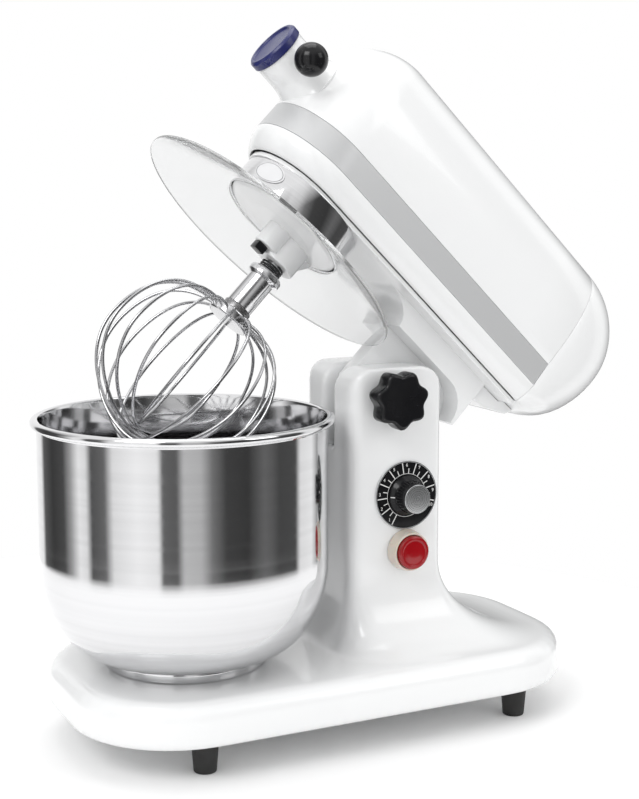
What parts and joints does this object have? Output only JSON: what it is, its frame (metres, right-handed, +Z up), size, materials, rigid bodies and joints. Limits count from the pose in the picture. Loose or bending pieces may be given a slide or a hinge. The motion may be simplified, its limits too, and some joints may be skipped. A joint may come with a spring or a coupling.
{
  "type": "stand mixer",
  "caption": "Tilt-head stand mixer with planetary wire whisk, steel mixing bowl, clear splash guard, accessory hub, clamp knob, speed dial and push button.",
  "frame": {"origin": "centre of the object's bounding box on the table, under the feet, with the head tilted back", "axes": "+Z up, -Y the front where the bowl stands, +X the side with the dial, button and clamp knob"},
  "size_m": [0.2454, 0.5302, 0.5764],
  "materials": {
    "white_enamel": "gloss",
    "polished_steel": "mirror polished",
    "shaft_steel": "ground",
    "gear_steel": "oiled",
    "black_plastic": "gloss",
    "rubber_feet": "matte",
    "grey_plate": "satin",
    "navy_cap": "satin",
    "red_plastic": "gloss",
    "cream_plastic": "gloss",
    "clear_plastic": "clear, glossy",
    "bronze": "plain bearing",
    "circuit_board": "matte",
    "spun_aluminium": "spun"
  },
  "bodies": {
    "stand": {"stand_casting": "white_enamel", "bottom_cover": "grey_plate", "foot_front_left": "rubber_feet", "foot_front_right": "rubber_feet", "foot_rear_left": "rubber_feet", "foot_rear_right": "rubber_feet", "foot_screw_front_left": "shaft_steel", "foot_screw_front_right": "shaft_steel", "foot_screw_rear_left": "shaft_steel", "foot_screw_rear_right": "shaft_steel", "bowl_seat": "polished_steel", "seat_screw_1": "shaft_steel", "seat_screw_2": "shaft_steel", "seat_screw_3": "shaft_steel", "hinge_pin": "shaft_steel", "cable_gland": "black_plastic", "dial_plate": "black_plastic", "speed_potentiometer": "gear_steel", "button_bezel": "cream_plastic", "push_switch": "black_plastic", "control_board": "circuit_board"},
    "bowl": {"bowl_shell": "polished_steel", "bowl_foot": "polished_steel"},
    "clamp": {"star_knob": "black_plastic", "clamp_stud": "shaft_steel"},
    "dial": {"dial_knob": "black_plastic", "dial_knob_cap": "spun_aluminium", "dial_spindle": "shaft_steel"},
    "button": {"red_button": "red_plastic"},
    "head": {"head_cover": "white_enamel", "rear_cap": "white_enamel", "rear_cap_screw": "shaft_steel", "spec_strip": "grey_plate", "lower_housing": "white_enamel", "hinge_bush": "bronze", "chin_cover": "white_enamel", "drip_ring": "polished_steel", "label_plate": "grey_plate", "splash_guard": "clear_plastic", "ring_gear": "gear_steel", "lower_bearing": "shaft_steel", "upper_bearing": "shaft_steel", "motor_can": "gear_steel", "motor_bracket": "gear_steel"},
    "planetary": {"planet_carrier": "white_enamel", "boss_screw": "black_plastic", "centre_shaft": "shaft_steel", "crown_gear": "gear_steel"},
    "beater": {"beater_shaft": "shaft_steel", "drive_pin": "shaft_steel", "planet_pinion": "gear_steel", "shaft_spring": "black_plastic"},
    "whisk": {"whisk_collar": "polished_steel", "whisk_ring": "polished_steel", "whisk_cage": "polished_steel"},
    "drive": {"main_shaft": "shaft_steel", "bevel_pinion": "gear_steel", "cooling_fan": "black_plastic"},
    "hub_cover": {"hub_cap": "navy_cap"},
    "hub_screw": {"hub_thumbscrew": "black_plastic"}
  },
  "joints": [
    {"name": "head_tilt", "type": "hinge", "parent": "stand", "child": "head", "pos_m": [0, 0.04647, 0.248], "axis": [1, 0, 0], "range_deg": [0, 44.2]},
    {"name": "bowl_twist", "type": "hinge", "parent": "stand", "child": "bowl", "pos_m": [0, -0.14353, 0.065], "axis": [0, 0, 1], "range_deg": [0, 30]},
    {"name": "clamp_turn", "type": "hinge", "parent": "stand", "child": "clamp", "pos_m": [0.05, 0.01947, 0.277], "axis": [1, 0, 0], "range_deg": [-180, 90]},
    {"name": "speed_dial", "type": "hinge", "parent": "stand", "child": "dial", "pos_m": [0.05, 0.03647, 0.1935], "axis": [1, 0, 0], "range_deg": [-195, 60]},
    {"name": "button_press", "type": "slide", "parent": "stand", "child": "button", "axis": [-1, 0, 0], "range_m": [0, 0.003], "stiffness_N_per_m": 1200, "springref_m": -0.001},
    {"name": "motor_spin", "type": "hinge", "parent": "head", "child": "drive", "pos_m": [0, 0.12028, 0.38127], "axis": [0, 0.7169, -0.6972], "continuous": true},
    {"name": "planetary_spin", "type": "hinge", "parent": "head", "child": "planetary", "pos_m": [0, -0.05558, 0.41559], "axis": [0, 0.6972, 0.7169], "continuous": true},
    {"name": "beater_spin", "type": "hinge", "parent": "planetary", "child": "beater", "pos_m": [-0.00717, -0.05614, 0.38823], "axis": [0, 0.6972, 0.7169], "continuous": true},
    {"name": "whisk_push", "type": "slide", "parent": "beater", "child": "whisk", "axis": [0, 0.6972, 0.7169], "range_m": [0, 0.005], "stiffness_N_per_m": 800, "springref_m": -0.006, "deforming": ["shaft_spring"]},
    {"name": "hub_cap_pull", "type": "slide", "parent": "head", "child": "hub_cover", "axis": [0, -0.7169, 0.6972], "range_m": [0, 0.02]},
    {"name": "hub_screw_turn", "type": "hinge", "parent": "head", "child": "hub_screw", "pos_m": [0.03, -0.04963, 0.5465], "axis": [1, 0, 0], "range_deg": [-180, 180]}
  ],
  "couplings": [
    {"joint": "planetary_spin", "follows": "motor_spin", "ratio": 0.5},
    {"joint": "beater_spin", "follows": "motor_spin", "ratio": -1.3889}
  ]
}
